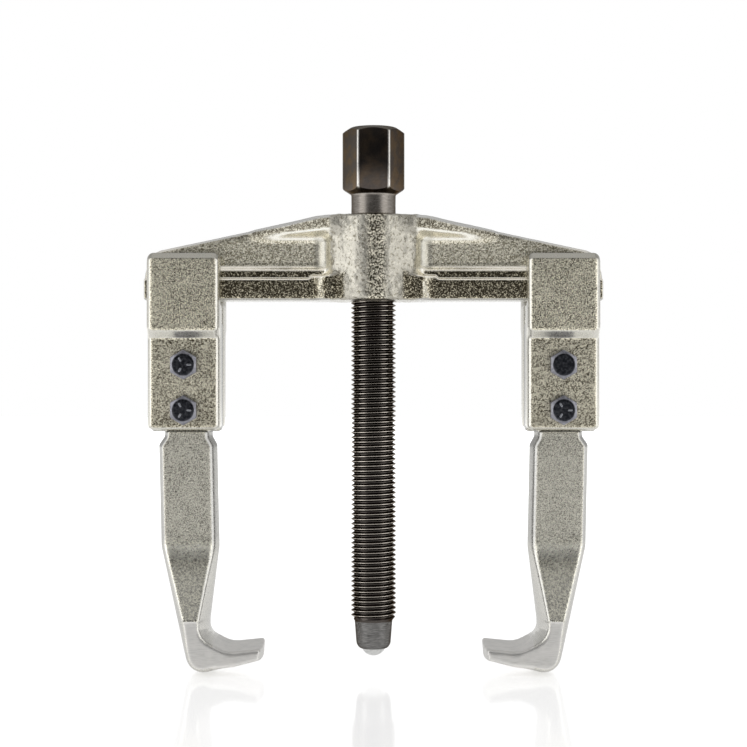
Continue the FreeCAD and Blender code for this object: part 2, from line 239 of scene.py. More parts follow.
def net(field, low, high, step):
    """Quads round the part of a field below zero, with a point in each cell that its surface crosses."""
    axes = [np.arange(a - 2 * step, b + 3 * step, step) for a, b in zip(low, high)]
    grid = np.meshgrid(*axes, indexing="ij", sparse=True)
    f = np.array(np.broadcast_to(field(*grid), [len(a) for a in axes]))
    inside = f < 0
    shape = np.array(f.shape) - 1
    corners = list(np.ndindex(2, 2, 2))
    count = np.zeros(shape, np.int8)
    for corner in corners:
        count += inside[tuple(slice(start, start + size) for start, size in zip(corner, shape))]
    cells = np.argwhere((count > 0) & (count < 8))
    number = np.full(shape, -1)
    number[tuple(cells.T)] = np.arange(len(cells))
    spot = np.zeros((len(cells), 3))
    hits = np.zeros(len(cells))
    for a in corners:
        for axis in range(3):
            if a[axis]:
                continue
            b = np.array(a)
            b[axis] = 1
            fa = f[tuple((cells + a).T)]
            fb = f[tuple((cells + b).T)]
            cut = (fa < 0) != (fb < 0)
            t = np.where(cut, fa / np.where(cut, fa - fb, 1), 0)
            spot += (np.array(a) + t[:, None] * (b - a)) * cut[:, None]
            hits += cut
    points = np.array([axis[0] for axis in axes]) + (cells + spot / hits[:, None]) * step
    faces = []
    for axis in range(3):
        one, two = [k for k in range(3) if k != axis]
        here = [slice(1, -1)] * 3
        onward = list(here)
        here[axis] = slice(0, -1)
        onward[axis] = slice(1, None)
        change = np.argwhere(inside[tuple(here)] != inside[tuple(onward)])
        change[:, one] += 1
        change[:, two] += 1
        starts_inside = inside[tuple(change.T)]
        ring = []
        for back_one, back_two in ((1, 1), (0, 1), (0, 0), (1, 0)):
            cell = change.copy()
            cell[:, one] -= back_one
            cell[:, two] -= back_two
            ring.append(number[tuple(cell.T)])
        ring = np.stack(ring, 1)
        flip = starts_inside if axis == 1 else ~starts_inside
        ring[flip] = ring[flip][:, ::-1]
        faces.append(ring)
    return points, np.concatenate(faces)


def slope_of(points, field, reach=0.01):
    """The field's value and gradient at each point."""
    value = field(*points.T)
    slopes = [(field(*(points + axis).T) - value) / reach for axis in np.eye(3) * reach]
    return value, np.stack(slopes, 1)


def settle(points, field, step, times=3):
    """Move a net's points onto the field's surface."""
    for _ in range(times):
        value, slope = slope_of(points, field)
        move = slope * (value / np.maximum((slope**2).sum(1), 0.2))[:, None]
        length = np.linalg.norm(move, axis=1)
        points = points - move * np.minimum(1, 0.5 * step / np.maximum(length, 1e-9))[:, None]
    return points


def forged(field, low, high, step, relief):
    """A settled mesh of a field, sunk by relief(points, normals), which is never below zero."""
    points, faces = net(field, low, high, step)
    points = settle(points, field, step)
    normals = slope_of(points, field)[1]
    normals /= np.maximum(np.linalg.norm(normals, axis=1), 1e-9)[:, None]
    return points - normals * relief(points, normals)[:, None], faces


def plain(points, normals):
    """No relief."""
    return np.zeros(len(points))


def mesh_piece(name, points, faces, material, body, node, slot, sharp=None):
    """A mesh object that stands for a CAD node and rides on its body."""
    mesh = bpy.data.meshes.new(name)
    mesh.from_pydata((points * MM).tolist(), [], faces.tolist() if isinstance(faces, np.ndarray) else faces)
    mesh.validate()
    mesh.shade_smooth()
    if sharp:
        mesh.set_sharp_from_angle(angle=math.radians(sharp))
    mesh.materials.append(material)
    piece = bpy.data.objects.new(name, mesh)
    bpy.context.scene.collection.objects.link(piece)
    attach(piece, body)
    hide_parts(node)
    return piece


def mirrored(points, faces, axis):
    """The mirror image of a mesh across the plane through the origin, with its faces still outwards."""
    points = points.copy()
    points[:, axis] *= -1
    return points, faces[:, ::-1]


# ---------------------------------------------------------------- shapes


def beam_top(x):
    """Height of the sloping top edge."""
    return BEAM_TOP - (x - BEAM_FLAT) * SLOPE


BEAM_SIDE = rounded(
    [
        (-30, BEAM_BOTTOM, 0),
        (BEAM_END, BEAM_BOTTOM, 0.8),
        (BEAM_END, RAIL_TOP, 2.0),
        (BEAM_END - 1.1, beam_top(SLOPE_END) - 1.6, 2.0),
        (SLOPE_END, beam_top(SLOPE_END), 5.0),
        (BEAM_FLAT, BEAM_TOP, 20.0),
        (-30, BEAM_TOP, 0),
    ]
)
SHOULDERS = rounded(
    [
        (-30, -1, 0),
        (SWEEP_END + 1, -1, 0),
        (SWEEP_END + 1, RAIL_HALF - 0.5, 0),
        (SWEEP_END, RAIL_HALF - 0.1, 2.0),
        (HUB_WALL + 0.6, SHOULDER_HALF, 2.5),
        (-30, SHOULDER_HALF, 0),
    ]
)
RIM = rounded(
    [
        (-30, -1, 0),
        (RIM_END, -1, 0),
        (RIM_END, WEB_HALF - 0.4, 0),
        (HUB_WALL - 2, SHOULDER_HALF + 0.2, 6.0),
        (-30, SHOULDER_HALF + 0.2, 0),
    ]
)
HUB_FLANK = rounded(
    [
        (-30, -1, 0),
        (HUB_WALL + 1.4, -1, 0),
        (HUB_WALL + 1.2, WEB_HALF, 0.6),
        (HUB_WALL - 1.6, SHOULDER_HALF - 0.8, 4.5),
        (-30, SHOULDER_HALF - 0.8, 0),
    ]
)


def beam_field(x, y, z):
    """Web, strip, rail, rim, shoulders and hub, joined by fillets and bored through."""
    across_x, across_y = np.abs(x), np.abs(y)
    side = plane_distance(across_x, z, BEAM_SIDE)
    height = slab(z, BEAM_BOTTOM, BEAM_TOP)
    web = meet(side, across_y - WEB_HALF, 1.7)
    strip = meet(meet(across_y - STRIP_HALF, z - STRIP_TOP - 0.1, 0.8), side, 0.8)
    rail = meet(across_y - RAIL_HALF, slab(z, BEAM_BOTTOM, RAIL_TOP), 1.25)
    rail = meet(rail, across_x - BEAM_END, 0.9)
    underside = (RIM_BOTTOM + (across_y - WEB_HALF) * RIM_RISE - z) / math.hypot(1, RIM_RISE)
    rim = meet(plane_distance(across_x, across_y, RIM), underside, 1.2)
    rim = meet(rim, side, 1.9)
    shoulders = plane_distance(across_x, across_y, SHOULDERS)
    shoulders = meet(shoulders, slab(z, BEAM_BOTTOM, RAIL_TOP + 0.9), 1.0)
    flank = meet(plane_distance(across_x, across_y, HUB_FLANK), height, 1.2)
    around = np.hypot(x, y)
    hub = join(meet(around - HUB_R, height, 1.3), flank, 2.5)
    body = join(join(web, strip, 2.2), rail, 0.5)
    body = join(body, rim, 2.0)
    body = join(body, shoulders, 0.7)
    body = join(body, hub, 2.4)
    body = meet(body, side, 0.5)
    return meet(body, BORE_R - around, 0.5)


def beam_relief(points, normals):
    """Forging scale: fine everywhere, and hammered on the hub."""
    x, y = points[:, :2].T
    near_hub = np.clip((19 - np.abs(x)) / 6, 0, 1) * np.clip((np.hypot(x, y) - 8) / 2, 0, 1)
    broad = value_noise(points, 1.5, 3)
    small = value_noise(points, 0.75, 4)
    hammered = near_hub * (0.20 * broad + 0.11 * small)
    top = np.clip(normals[:, 2], 0, 1) * 0.05 * broad
    return hammered + top + 0.03 * small


CHEEK_SECTION = rounded(
    [
        (-CHEEK_HALF, HEAD_BOTTOM, 1.6),
        (-CHEEK_HALF, BAND_BOTTOM, 0.8),
        (-BLOCK_HALF, BAND_TOP, 1.4),
        (-BLOCK_HALF, HEAD_TOP - HEAD_BEVEL, 0.35),
        (-BLOCK_HALF + 1.9, HEAD_TOP, 0.5),
        (-LIP_HALF, HEAD_TOP, 0.6),
        (-LIP_HALF, RAIL_TOP + 0.2, 0.5),
        (-CAVITY_HALF, RAIL_TOP + 0.2, 0.4),
        (-CAVITY_HALF, BEAM_BOTTOM - 0.15, 0.4),
        (-TONGUE_HALF, BEAM_BOTTOM - 0.15, 0.6),
        (-TONGUE_HALF, HEAD_BOTTOM, 0.5),
    ]
)


def cheek_field(x, y, z):
    """The right jaw's front cheek: one section along X, with its ends rounded and two bolt holes."""
    section = plane_distance(y, z, CHEEK_SECTION)
    width = meet(slab(x, HEAD_IN, HEAD_OUT), HEAD_BOTTOM - z, 2.2)
    body = meet(section, width, 2.2)
    for height in BOLT_HEIGHT.values():
        body = meet(body, HOLE_R - np.hypot(x - BOLT_X, z - height), 0.25)
    return body


def cheek_relief(points, normals):
    """Forging scale on the front, fading out before the edges."""
    small = value_noise(points, 0.7, 11)
    broad = value_noise(points, 2.6, 12)
    face = np.clip(-normals[:, 1] * 12 - 11, 0, 1)
    return face * (0.05 * small + 0.03 * broad) + 0.01 * broad


def heel_corner():
    """Where the finger's underside and the arm's outer edge would meet but for the heel's round."""
    down = np.array([-math.sin(UNDERSIDE), -math.cos(UNDERSIDE)])
    out = np.array([math.cos(OUTER_LEAN), -math.sin(OUTER_LEAN)])
    return np.array(HEEL) + (down + out) * HEEL_R / (1 + down @ out)


def finger_top(x):
    """Height of the finger's flat top."""
    return FINGER_ROOT[1] + (FINGER_ROOT[0] - x) * FINGER_SLOPE


HEEL_CORNER = heel_corner()
ARM_SIDE = rounded(
    [
        (50.3, HEAD_BOTTOM + 4, 0),
        (50.3, HEAD_BOTTOM - 1.6, 1.0),
        (48.85, NOTCH_Z, 2.0),
        (48.2, BEND_Z, 12.0),
        (*FINGER_ROOT, 7.5),
        (TIP, finger_top(TIP), 0.7),
        (TIP + 0.4, HEEL_CORNER[1] + (HEEL_CORNER[0] - TIP - 0.4) * math.tan(UNDERSIDE), 0.9),
        (*HEEL_CORNER, HEEL_R),
        (66.36, BEND_Z, 12.0),
        (67.1, NOTCH_Z, 2.0),
        (65.3, HEAD_BOTTOM - 1.6, 1.0),
        (65.3, HEAD_BOTTOM + 4, 0),
    ],
    8,
)


def arm_depth(z):
    """Half the arm's depth at each height."""
    flare = ARM_HALF + (FLARE_TOP - z) / (FLARE_TOP - FLARE_BOTTOM) * (FLARE_HALF - ARM_HALF)
    soft = np.logaddexp(0, flare - ARM_HALF)
    return np.where(z > FLARE_BOTTOM, np.minimum(ARM_HALF + soft, FLARE_HALF), HOOK_HALF)


def arm_draft(x, z, out, deep):
    """How far the arm's edges lean in at a distance out from its middle plane, where it is deep to each side.

    The lean is largest on the flare, larger on the shank's inner edge than on its outer one, and fades to
    nothing at the top of the finger, which is flat.
    """
    above_finger = z - finger_top(x)
    along_finger = smooth((54.5 - x) / 7.5)
    flat_top = along_finger * (1 - np.clip(-above_finger / 2, 0, 1)) * smooth((9 - above_finger) / 6)
    shank = OUTER_DRAFT + (INNER_DRAFT - OUTER_DRAFT) * smooth((60 - x) / 6)
    lean = shank + (FLARE_DRAFT - shank) * (deep - ARM_HALF) / (FLARE_HALF - ARM_HALF)
    lean = (lean - 0.7 * smooth((FLARE_BOTTOM - 1 - z) / 9)) * (1 - 0.55 * smooth((50 - x) / 8))
    return lean * (1 - flat_top) * np.minimum(out / deep, 1.2) ** 2


def arm_field(x, y, z):
    """The right jaw's arm, from the tongue between its cheeks to the tip of its hook."""
    deep = arm_depth(z)
    out = np.abs(y)
    side = plane_distance(x, z, ARM_SIDE) + arm_draft(x, z, out, deep)
    lean = 1 / math.hypot(1, (FLARE_HALF - ARM_HALF) / (FLARE_TOP - FLARE_BOTTOM))
    front = (out - deep) * np.where((z > FLARE_BOTTOM) & (z < FLARE_TOP + 2), lean, 1.0)
    blade = meet(side, front, 0.85)
    blade = meet(blade, z - HEAD_BOTTOM, 0.1)
    blade = meet(blade, TIP + 0.8 * (out / HOOK_HALF) ** 2 - x, 0.9)
    tongue = meet(slab(x, HEAD_IN + 0.3, HEAD_OUT - 0.3), slab(z, HEAD_BOTTOM, TONGUE_TOP), 1.0)
    tongue = meet(tongue, out - TONGUE_HALF, 0.3)
    body = np.minimum(blade, tongue)
    for height in BOLT_HEIGHT.values():
        body = meet(body, HOLE_R - np.hypot(x - BOLT_X, z - height), 0.2)
    return body


def arm_relief(points, normals):
    """Forging scale on the front and rear, coarser on the flare; the ground hook has next to none."""
    small = value_noise(points, 0.7, 21)
    broad = value_noise(points, 2.2, 22)
    face = np.clip(np.abs(normals[:, 1]) * 8 - 7, 0, 1)
    rough = np.clip((points[:, 2] - FLARE_BOTTOM) / 0.4, 0, 1)
    flare = np.clip((FLARE_TOP + 1 - points[:, 2]) / 3, 0, 1)
    return rough * face * (0.035 * small + 0.02 * broad + 0.04 * flare * small) + 0.01 * broad


def hexagon(u, v, flats):
    """Distance to a hexagonal prism with corners on the u axis."""
    far = np.abs(v)
    for angle in (30, 150):
        far = np.maximum(far, np.abs(u * math.cos(math.radians(angle)) + v * math.sin(math.radians(angle))))
    return far - flats / 2


def bolt_field(marked):
    """A hexagon bolt along +Y with corners up and down, its head's seat at y = 0.

    A marked one has a grade mark: three short raised dashes, pointing outwards.
    """
    dashes = [math.radians(90 + 30 + 120 * k) for k in range(3)] if marked else []

    def field(x, y, z):
        around = np.hypot(x, z)
        head = meet(hexagon(z, x, BOLT_AF), slab(y, -BOLT_HEAD, 0), 0.12)
        chamfer = (around - (BOLT_CORNER - 1.45)) * CHAMFER[0] - (y + BOLT_HEAD) * CHAMFER[1]
        head = meet(head, chamfer, 0.15)
        shank = meet(around - BOLT_R, slab(y, -1, BOLT_LENGTH - 3.5), 0.45)
        body = np.minimum(head, shank)
        for angle in dashes:
            along = x * math.cos(angle) + z * math.sin(angle)
            aside = -x * math.sin(angle) + z * math.cos(angle)
            dash = meet(slab(along, 1.2, 2.5), np.abs(aside) - 0.24, 0.1)
            dash = meet(dash, slab(y, -BOLT_HEAD - 0.14, -BOLT_HEAD + 0.5), 0.08)
            body = join(body, dash, 0.08)
        return body

    return field


def nut_field(x, y, z):
    """A hexagon nut with its seat at y = 0, chamfered on both sides."""
    tall = NUT_HIGH[1] - NUT_LOW[1]
    around = np.hypot(x, z)
    body = meet(hexagon(z, x, BOLT_AF), slab(y, 0, tall), 0.1)
    chamfer = (around - (BOLT_CORNER - 0.75)) * CHAMFER[0] - (tall / 2 - np.abs(y - tall / 2)) * CHAMFER[1]
    return meet(meet(body, chamfer, 0.12), NUT_BORE_R - around, 0.2)


def washer_field(x, y, z):
    """A spring washer with its seat at y = 0 and a slanting split."""
    tall = WASHER_HIGH[1] - WASHER_LOW[1]
    outer = (WASHER_HIGH[2] - WASHER_LOW[2]) / 2
    around = np.hypot(x, z)
    ring = meet(meet(around - outer, slab(y, 0, tall), 0.15), WASHER_BORE_R - around, 0.12)
    split = np.maximum(np.abs(z + (y - tall / 2) * 0.45) - 0.35, -x)
    return meet(ring, -split, 0.08)


# ---------------------------------------------------------------- screw


def column_angles():
    """Angles round the screw: even steps, and close pairs beside each corner of the hexagon."""
    angles = set(np.arange(0, 360, 3.75))
    pairs = (-HEX_WORN - 0.4, -HEX_WORN, HEX_WORN, HEX_WORN + 0.4)
    for corner in range(0, 360, 60):
        angles |= {(corner + aside) % 360 for aside in pairs}
    return np.radians(sorted(angles))


def lathe(columns, rows, thread=None):
    """A mesh from rows of (radius, height), each a number or one per column, with a thread between two rows.

    A thread is (the row that it starts from, heights, radii, points in a turn). Both tables have a line for
    each column, and where the last column meets the first, they are one turn apart.
    """
    count = len(columns)
    points, faces = [], []

    def number(row):
        start = len(points)
        radius, height = (np.broadcast_to(v, count) for v in row)
        points.extend(np.stack([radius * np.cos(columns), radius * np.sin(columns), height], 1))
        return start + np.arange(count)

    rings = [number(row) for row in rows]
    for i, (low, high) in enumerate(zip(rings, rings[1:])):
        if thread and i == thread[0]:
            continue
        faces.extend(np.stack([low, np.roll(low, -1), np.roll(high, -1), high], 1))
    if thread:
        _, heights, radii, turn = thread
        start = len(points)
        for height, radius, angle in zip(heights, radii, columns):
            points.extend(np.stack([radius * math.cos(angle), radius * math.sin(angle), height], 1))
        length = heights.shape[1]
        index = start + np.arange(count * length).reshape(count, length)
        for s in range(count - 1):
            here, onward = index[s], index[s + 1]
            faces.extend(np.stack([here[:-1], onward[:-1], onward[1:], here[1:]], 1))
        here, onward = index[-1][: length - turn], index[0][turn:]
        faces.extend(np.stack([here[:-1], onward[:-1], onward[1:], here[1:]], 1))
    return np.array(points), np.array(faces)


def tidy(name, points, faces):
    """Points that coincide become one, and faces that closed up go."""
    mesh = bpy.data.meshes.new(name)
    mesh.from_pydata((points * MM).tolist(), [], faces.tolist())
    made = bmesh.new()
    made.from_mesh(mesh)
    bmesh.ops.remove_doubles(made, verts=made.verts, dist=2e-6)
    bmesh.ops.dissolve_degenerate(made, edges=made.edges, dist=1e-6)
    bmesh.ops.recalc_face_normals(made, faces=made.faces)
    made.verts.index_update()
    points = np.array([v.co for v in made.verts]) / MM
    faces = [[v.index for v in face.verts] for face in made.faces]
    made.free()
    bpy.data.meshes.remove(mesh)
    return points, faces


def thread_table(columns, low, high):
    """Heights and radii of the helix on each column, and how many points it has in a turn.

    low and high are the (radius, height) that the thread runs out to at its ends.
    """
    groove = [(0.0, ROOT_R), (0.13, ROOT_R + 0.03), (0.61, CREST_R - 0.09), (0.67, CREST_R)]
    crest = [(0.83, CREST_R), (0.89, CREST_R - 0.09), (1.37, ROOT_R + 0.03)]
    profile = np.array(groove + crest)
    turns = np.arange(-2, math.ceil((THREAD_TOP - THREAD_BOTTOM) / PITCH) + 3)
    offset = (turns[:, None] * PITCH + profile[:, 0]).ravel()
    height = THREAD_BOTTOM - PITCH + offset + columns[:, None] / (2 * math.pi) * PITCH
    radius = np.broadcast_to(np.tile(profile[:, 1], len(turns)), height.shape)
    radius = np.minimum(radius, np.interp(height, [low[1], low[1] + 1.4], [low[0], CREST_R]))
    radius = np.minimum(radius, np.interp(height, [high[1] - 0.9, high[1]], [CREST_R, high[0]]))
    return np.clip(height, low[1], high[1]), radius, len(profile)


def hexagon_rows(columns):
    """The head's rows, from the underside's chamfer to the edge of the dome's flat."""
    under_r, under_z = [NECK_R + 0.4, 9.3, 9.8], [HEX_BOTTOM, HEX_BOTTOM + 1.25, HEX_BOTTOM + 1.9]
    dome_r = [6.9, 7.2, 7.5, 8.27, 9.03, 9.8]
    dome_z = HEX_TOP - np.array([0.0, 0.05, 0.2, 0.72, 1.24, 1.75])
    flats = HEX_AF / 2 / np.cos(columns % (math.pi / 3) - math.pi / 6)
    flats = np.minimum(flats, HEX_AF / 2 / math.cos(math.radians(30 - HEX_WORN)))
    inner, edge = under_r[0], flats - 0.06
    radii = [inner + (edge - inner) * t for t in np.linspace(0, 1, 6)[1:]]
    rows = [(r, np.interp(r, under_r, under_z)) for r in radii]
    rows.append((flats, np.interp(flats, under_r, under_z) + 0.12))
    rows.append((flats, np.interp(flats, dome_r, dome_z) - 0.12))
    radii = [edge + (dome_r[0] - edge) * t for t in np.linspace(0, 1, 8)]
    return rows + [(r, np.interp(r, dome_r, dome_z)) for r in radii]


def screw_mesh():
    """Socket, tip, collar, thread, neck and hexagon, from the inside of the socket to the dome's centre."""
    columns = column_angles()
    opening = math.acos((TIP_Z + 0.1 - BALL_Z) / SOCKET_R)
    run_out = COLLAR_R + 0.05, THREAD_BOTTOM - 0.2
    undercut = ROOT_R - 0.05, THREAD_TOP
    rows = [(SOCKET_R * math.sin(t), BALL_Z + SOCKET_R * math.cos(t)) for t in np.linspace(0, opening, 10)]
    rows += [(TIP_R - 1.4, TIP_Z), (TIP_R - 1.15, TIP_Z + 0.03), (TIP_R - 0.8, TIP_Z + 0.25)]
    rows += [(TIP_R - 0.3, TIP_Z + 0.95), (TIP_R - 0.1, TIP_Z + 1.4), (TIP_R, TIP_Z + 2.0)]
    rows += [(COLLAR_R - 0.05, THREAD_BOTTOM - 0.9), (COLLAR_R, THREAD_BOTTOM - 0.6), run_out]
    start = len(rows) - 1
    rows += [undercut, (undercut[0], BEAM_TOP + 0.1), (NECK_R - 0.4, BEAM_TOP + 0.1)]
    rows += [(NECK_R - 0.1, BEAM_TOP + 0.25), (NECK_R, BEAM_TOP + 0.5), (NECK_R, BEAM_TOP + 0.65)]
    rows += [(NECK_R - 0.03, (BEAM_TOP + HEX_BOTTOM) / 2)]
    rows += [(NECK_R, HEX_BOTTOM - 0.8), (NECK_R, HEX_BOTTOM - 0.65)]
    rows += [(NECK_R + 0.1, HEX_BOTTOM - 0.25), (NECK_R + 0.4, HEX_BOTTOM)]
    rows += hexagon_rows(columns)
    rows += [(6.5, HEX_TOP), (1.6, HEX_TOP), (1.35, HEX_TOP - 0.15)]
    rows += [(0.2, HEX_TOP - 1.2), (0.0, HEX_TOP - 1.25)]
    thread = (start, *thread_table(columns, run_out, undercut))
    return tidy("screw", *lathe(columns, rows, thread))


def ball_mesh():
    """The ball, with the small flat that use has worn on its pole."""
    columns = np.radians(np.arange(0, 360, 5))
    low = BALL_WORN - math.pi / 2
    angles = np.linspace(low, math.pi / 2, 40)
    rows = [(0.0, BALL_Z + BALL_R * math.sin(low))]
    rows += [(BALL_R * math.cos(a), BALL_Z + BALL_R * math.sin(a)) for a in angles]
    return tidy("ball", *lathe(columns, rows))


# ---------------------------------------------------------------- materials


class Graph:
    """A material's nodes, with short names for the few kinds used here."""

    def __init__(self, name):
        self.material = bpy.data.materials.new(name)
        self.material.use_nodes = True
        self.tree = self.material.node_tree
        self.tree.nodes.clear()
        self.shader = self.node("BsdfPrincipled")
        output = self.node("OutputMaterial")
        self.tree.links.new(self.shader.outputs[0], output.inputs[0])
        place = self.node("TexCoord")
        self.place = place.outputs["Object"]
        self.normal = place.outputs["Normal"]
        self.x, self.y, self.z = self.split(self.place)

    def node(self, kind, **settings):
        made = self.tree.nodes.new("ShaderNode" + kind)
        for key, value in settings.items():
            setattr(made, key, value)
        return made

    def put(self, socket, value):
        if isinstance(value, bpy.types.NodeSocket):
            self.tree.links.new(value, socket)
        else:
            socket.default_value = value

    def split(self, vector):
        made = self.node("SeparateXYZ")
        self.put(made.inputs[0], vector)
        return made.outputs[0], made.outputs[1], made.outputs[2]

    def math(self, operation, *values):
        made = self.node("Math", operation=operation)
        for socket, value in zip(made.inputs, values):
            self.put(socket, value)
        return made.outputs[0]

    def times(self, first, *others):
        for other in others:
            first = self.math("MULTIPLY", first, other)
        return first

    def plus(self, a, b):
        return self.math("ADD", a, b)

    def less(self, mask):
        """What a mask leaves out."""
        return self.math("SUBTRACT", 1.0, mask)

    def spread(self, value, low, high, to_low=0.0, to_high=1.0):
        """A value mapped smoothly from one range to another and held at its ends."""
        made = self.node("MapRange", interpolation_type="SMOOTHSTEP")
        for key, number in zip((0, 1, 2, 3, 4), (value, low, high, to_low, to_high)):
            self.put(made.inputs[key], number)
        return made.outputs[0]

    def between(self, place, low, high, to_low=0.0, to_high=1.0):
        """A coordinate or a distance mapped like that from a range in millimetres."""
        return self.spread(place, low * MM, high * MM, to_low, to_high)

    def noise(self, size, detail=2.0, rough=0.6, where=None):
        """Noise whose features are about size millimetres across."""
        made = self.node("TexNoise")
        self.put(made.inputs["Vector"], where or self.place)
        self.put(made.inputs["Scale"], 1 / (size * MM))
        self.put(made.inputs["Detail"], detail)
        self.put(made.inputs["Roughness"], rough)
        return made.outputs["Fac"]

    def stretched(self, x, y, z):
        """The object's coordinates, stretched by a factor along each axis."""
        made = self.node("Mapping")
        self.put(made.inputs["Vector"], self.place)
        self.put(made.inputs["Scale"], (x, y, z))
        return made.outputs[0]

    def paint(self, socket, colour):
        self.put(socket, (*colour, 1) if isinstance(colour, tuple) else colour)

    def mix(self, share, a, b):
        """Colour a with a share of colour b over it."""
        made = self.node("Mix", data_type="RGBA")
        self.put(made.inputs["Factor"], share)
        self.paint(made.inputs[6], a)
        self.paint(made.inputs[7], b)
        return made.outputs[2]

    def bump(self, height, depth, strength=1.0):
        """Relief of depth millimetres from a height between 0 and 1."""
        made = self.node("Bump")
        self.put(made.inputs["Height"], height)
        self.put(made.inputs["Distance"], depth * MM)
        self.put(made.inputs["Strength"], strength)
        return made.outputs[0]

    def finish(self, colour, roughness, normal=None, metallic=1.0):
        self.paint(self.shader.inputs["Base Color"], colour)
        self.put(self.shader.inputs["Roughness"], roughness)
        self.shader.inputs["Metallic"].default_value = metallic
        if normal:
            self.put(self.shader.inputs["Normal"], normal)
        return self.material


def facing_mask(graph):
    """1 on faces that look to the front or the rear, 0 on edges and flanks."""
    front = graph.math("ABSOLUTE", graph.split(graph.normal)[1])
    return graph.spread(front, 0.84, 0.96)


def plated(name, skin, edge, grain, share, depth, zone=None, tint=1.0):
    """Nickel over a forged skin: dark and bright grains on the die faces, smoother on the flanks.

    skin is the colours of the two grains and edge that of the flanks. grain is a grain's size in millimetres,
    share sets how many are dark, and depth is their relief. zone(graph, face, colour, roughness, strength)
    can change the last three over part of the piece, and tint dims what shows at a glancing angle.
    """
    g = Graph(name)
    dark, light = skin
    face = facing_mask(g)
    fine = g.noise(grain, 1.5, 0.55)
    coarse = g.noise(grain * 2.3, 2.0, 0.5)
    patch = g.noise(7.0, 2.0, 0.5)
    grains = g.plus(g.times(fine, 0.78), g.times(coarse, 0.22))
    colour = g.mix(g.spread(grains, share - 0.10, share + 0.09), dark, light)
    colour = g.mix(g.spread(patch, 0.35, 0.7, 0.0, 0.25), colour, light)
    flank = g.mix(g.spread(fine, 0.4, 0.62), edge, tuple(c * 0.93 for c in edge))
    colour = g.mix(face, flank, colour)
    roughness = g.plus(g.spread(coarse, 0.3, 0.7, 0.22, 0.32), g.times(face, 0.03))
    strength = g.spread(face, 0.0, 1.0, 0.10, 1.0)
    g.shader.inputs["Specular Tint"].default_value = (tint, tint, tint, 1)
    if zone:
        colour, roughness, strength = zone(g, face, colour, roughness, strength)
    return g.finish(colour, roughness, g.bump(grains, depth, strength))


def shaded_rail(g, face, colour, roughness, strength):
    """Painted highlights on the flanks that face up, painted shade on those that face down below the strip
    and a painted floor reflection on those above it, paler grains in the pocket with painted shade in its
    corner by the hub, and a darker rail; the hub has colours of its own.
    """
    flank = g.less(face)
    tilt = g.split(g.normal)[2]
    aside = g.math("ABSOLUTE", g.x)
    above_strip = g.between(g.z, STRIP_TOP, STRIP_TOP + 1)
    below_rim = g.between(g.z, RIM_BOTTOM + 0.5, RIM_BOTTOM - 1.5)
    on_rim = g.between(g.z, RIM_BOTTOM - 1.5, RIM_BOTTOM + 0.5)

    # painted highlight on flanks that face up: cream low down, grey towards the rim
    upward_highlight = g.mix(g.between(g.z, STRIP_TOP + 2, RIM_BOTTOM), (1.0, 0.95, 0.85), (0.66, 0.655, 0.63))
    # painted shade on flanks that face down below the strip, painted reflection of the floor on the rim's
    # underside above it
    underside = g.mix(above_strip, (0.46, 0.45, 0.42), (0.95, 0.93, 0.85))
    colour = g.mix(g.times(g.spread(tilt, 0.15, 0.45), flank), colour, upward_highlight)
    colour = g.mix(g.times(g.spread(tilt, -0.15, -0.45), flank), colour, underside)

    pale = g.mix(g.spread(g.noise(0.45, 1.5, 0.55), 0.42, 0.54), (0.30, 0.27, 0.185), (1.0, 0.95, 0.80))
    colour = g.mix(g.times(face, below_rim, 0.80), colour, pale)
    speck = g.spread(g.noise(0.6, 1.5, 0.5), 0.44, 0.56, 0.0, 0.75)
    colour = g.mix(g.times(face, on_rim, speck), colour, BEAM_GRAINS[0])
    # painted shade in the pocket's corner between the hub, the rim and the shoulders
    corner = g.times(g.between(aside, SWEEP_END + 0.3, SWEEP_END - 1.2), above_strip, below_rim)
    colour = g.mix(g.times(corner, 0.7), colour, (0.42, 0.405, 0.35))

    colour = g.mix(g.between(aside, HUB_WALL - 0.2, HUB_WALL - 1.4), colour, hub_colour(g))
    low = g.between(g.z, STRIP_TOP - 0.1, STRIP_TOP - 0.6)
    rail = g.times(low, g.between(aside, RAIL_START - 0.6, RAIL_START + 0.6), face)
    sparkle = g.spread(g.noise(0.40, 1.5, 0.55), 0.50, 0.64)
    colour = g.mix(rail, colour, g.mix(sparkle, (0.060, 0.050, 0.032), (0.72, 0.66, 0.50)))
    return colour, roughness, strength


def hub_colour(g):
    """Thick cream nickel, with painted shade over the hub's right side and a band of dark spots down the
    front of the hub.
    """
    cloud = g.noise(0.8, 2.0, 0.5)
    spots = g.noise(0.55, 1.5, 0.5)
    cream = g.mix(g.spread(cloud, 0.30, 0.48), (0.20, 0.185, 0.145), (0.46, 0.44, 0.385))
    # painted shade: the cream darkens towards the hub's right side
    cream = g.mix(g.between(g.x, 2.0, 7.0, 0.0, 0.22), cream, (0.22, 0.205, 0.165))
    spotted = g.mix(g.spread(spots, 0.42, 0.55), (0.085, 0.075, 0.052), (0.86, 0.81, 0.67))
    from_band = g.math("ABSOLUTE", g.math("SUBTRACT", g.x, 0.8 * MM))
    return g.mix(g.between(from_band, 1.5, 3.9), spotted, cream)


def shaded_cheek(g, face, colour, roughness, strength):
    """The cheek below the block is a little browner, most of all at its foot; the head's bevel is darker, a
    painted shade.
    """
    below = g.times(face, g.between(g.z, BAND_TOP + 0.5, BAND_BOTTOM - 0.5, 0.0, 0.16))
    foot = g.times(face, g.between(g.z, FOOT_TOP, FOOT_LOW, 0.0, 0.14))
    # painted shade on the head's top bevel and top
    bevel = g.between(g.z, HEAD_TOP - HEAD_BEVEL - 0.4, HEAD_TOP - HEAD_BEVEL + 0.2, 0.0, 0.62)
    colour = g.mix(bevel, colour, (0.34, 0.325, 0.28))
    return g.mix(g.plus(below, foot), colour, (0.10, 0.08, 0.045)), roughness, strength


